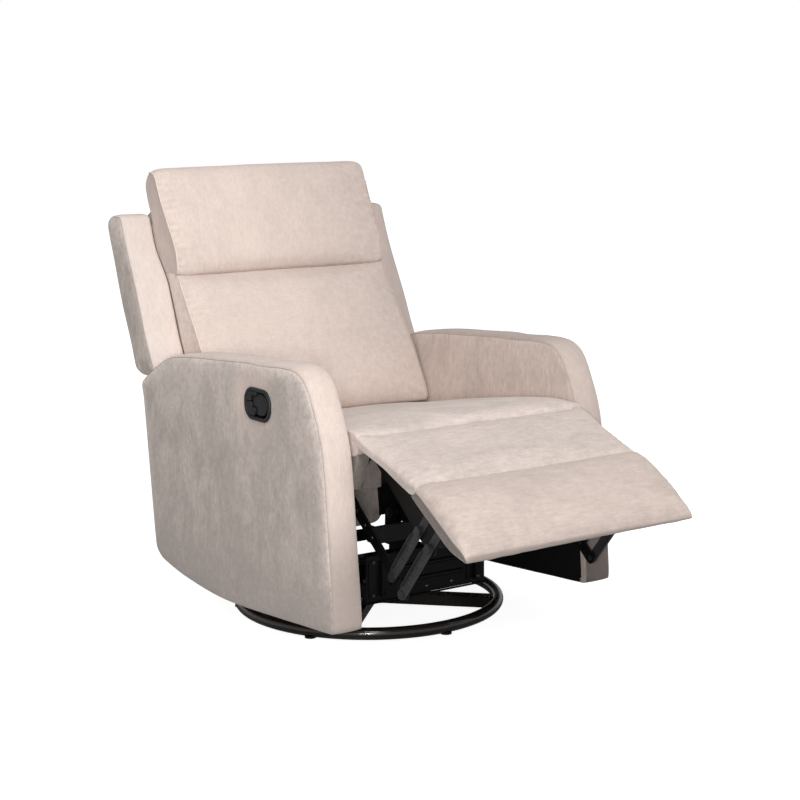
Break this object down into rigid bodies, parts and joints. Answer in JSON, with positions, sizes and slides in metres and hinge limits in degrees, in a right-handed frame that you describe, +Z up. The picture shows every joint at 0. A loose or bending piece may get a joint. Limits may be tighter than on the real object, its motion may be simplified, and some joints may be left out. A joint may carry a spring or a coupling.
{
  "type": "swivel glider recliner",
  "caption": "Upholstered armchair on a round swivel ring: glides fore and aft, back reclines, and a side handle releases a chaise footrest",
  "frame": {"origin": "on the floor at the centre of the round base, on the swivel axis", "axes": "+X towards the sitter's left, -Y to the front of the chair, +Z up"},
  "size_m": [0.761, 1.3259, 1.013],
  "materials": {
    "cream_fabric": "chenille, light side of the nap",
    "taupe_fabric": "chenille, shaded side of the nap",
    "black_lining": "thin woven lining",
    "black_steel": "satin powder coat",
    "link_steel": "satin grey-black enamel",
    "ring_steel": "gloss dark brown enamel",
    "zinc": "zinc plated",
    "wood": "raw plywood and pine",
    "black_plastic": "moulded, fine grain",
    "race_plastic": "natural nylon",
    "cable_sheath": "smooth sheath",
    "rubber": "matt"
  },
  "bodies": {
    "base": {"base_ring": "ring_steel", "base_crossbars": "ring_steel", "swivel_lower_plate": "black_steel", "swivel_ball_race": "race_plastic", "swivel_king_bolt": "zinc", "floor_glides": "rubber", "base_bolts": "zinc"},
    "carriage": {"swivel_upper_plate": "black_steel", "glider_cross_channels": "black_steel", "glider_base_sides": "black_steel", "glider_front_plate": "black_steel", "glider_rear_plate": "black_steel", "glide_upper_pins": "zinc", "glide_bumpers": "rubber"},
    "front_links": {"front_swing_links": "black_steel", "front_glide_shaft": "zinc"},
    "rear_links": {"rear_swing_links": "black_steel", "rear_glide_shaft": "zinc"},
    "chair": {"glide_hangers": "black_steel", "frame_cross_tubes": "black_steel", "seat_side_boards": "wood", "seat_end_boards": "wood", "mechanism_plate_left": "black_steel", "mechanism_plate_right": "black_steel", "seat_springs": "zinc", "seat_cushion": "cream_fabric", "chaise_bridge": "cream_fabric", "arm_frame_left": "wood", "arm_frame_right": "wood", "arm_outer_panel_left": "taupe_fabric", "arm_outer_panel_right": "taupe_fabric", "arm_band_left": "cream_fabric", "arm_band_right": "cream_fabric", "arm_inner_panel_left": "black_lining", "arm_inner_panel_right": "black_lining", "handle_bezel": "black_plastic", "release_cable": "cable_sheath", "legrest_pivot_pins": "zinc", "recline_pivot_pins": "zinc", "rear_rail": "wood", "rear_panel": "taupe_fabric"},
    "handle": {"handle_paddle": "black_plastic"},
    "latch": {"latch_pawl": "black_steel"},
    "footrest": {"footrest_arms": "black_steel", "footrest_board": "wood", "footrest_cushion": "cream_fabric", "footrest_pins": "zinc"},
    "drive": {"drive_links": "black_steel", "drive_cross_rail": "black_steel", "drive_pins": "zinc"},
    "front_coupler": {"coupler_front": "link_steel"},
    "rear_coupler": {"coupler_rear": "link_steel"},
    "back": {"back_posts": "wood", "back_rails": "wood", "recline_brackets": "black_steel", "lumbar_cushion": "cream_fabric", "head_cushion": "cream_fabric", "wing_left": "taupe_fabric", "wing_right": "taupe_fabric", "outside_back": "taupe_fabric"}
  },
  "joints": [
    {"name": "swivel", "type": "hinge", "parent": "base", "child": "carriage", "pos_m": [0, 0, 0.04], "axis": [0, 0, 1], "continuous": true},
    {"name": "front_link_swing", "type": "hinge", "parent": "carriage", "child": "front_links", "pos_m": [0, -0.14, 0.17], "axis": [1, 0, 0], "range_deg": [-16, 16]},
    {"name": "chair_level", "type": "hinge", "parent": "front_links", "child": "chair", "pos_m": [0, -0.14, 0.07], "axis": [1, 0, 0], "range_deg": [-16, 16]},
    {"name": "rear_link_swing", "type": "hinge", "parent": "carriage", "child": "rear_links", "pos_m": [0, 0.14, 0.17], "axis": [1, 0, 0], "range_deg": [-16, 16]},
    {"name": "footrest_fold", "type": "hinge", "parent": "chair", "child": "footrest", "pos_m": [0, -0.39, 0.462], "axis": [1, 0, 0], "range_deg": [-16, 58], "deforming": ["chaise_bridge"]},
    {"name": "drive_swing", "type": "hinge", "parent": "chair", "child": "drive", "pos_m": [0, -0.298, 0.346], "axis": [1, 0, 0], "range_deg": [-16, 58]},
    {"name": "coupler_front_turn", "type": "hinge", "parent": "footrest", "child": "front_coupler", "pos_m": [0, -0.59095, 0.2938], "axis": [1, 0, 0], "range_deg": [-58, 16]},
    {"name": "coupler_rear_turn", "type": "hinge", "parent": "footrest", "child": "rear_coupler", "pos_m": [0, -0.55567, 0.32333], "axis": [1, 0, 0], "range_deg": [-58, 16]},
    {"name": "recline", "type": "hinge", "parent": "chair", "child": "back", "pos_m": [0, 0.25, 0.33], "axis": [-1, 0, 0], "range_deg": [0, 32]},
    {"name": "handle_pull", "type": "hinge", "parent": "chair", "child": "handle", "pos_m": [-0.366, -0.172, 0.535], "axis": [0, 0, 1], "range_deg": [0, 28], "stiffness_Nm_per_rad": 1.5},
    {"name": "latch_lift", "type": "hinge", "parent": "chair", "child": "latch", "pos_m": [-0.2605, -0.25, 0.344], "axis": [1, 0, 0], "range_deg": [-12, 0]}
  ],
  "couplings": [
    {"joint": "chair_level", "follows": "front_link_swing", "ratio": -1},
    {"joint": "rear_link_swing", "follows": "front_link_swing", "ratio": 1},
    {"joint": "drive_swing", "follows": "footrest_fold", "ratio": 1},
    {"joint": "coupler_front_turn", "follows": "footrest_fold", "ratio": -1},
    {"joint": "coupler_rear_turn", "follows": "footrest_fold", "ratio": -1},
    {"joint": "latch_lift", "follows": "handle_pull", "ratio": -0.42}
  ]
}
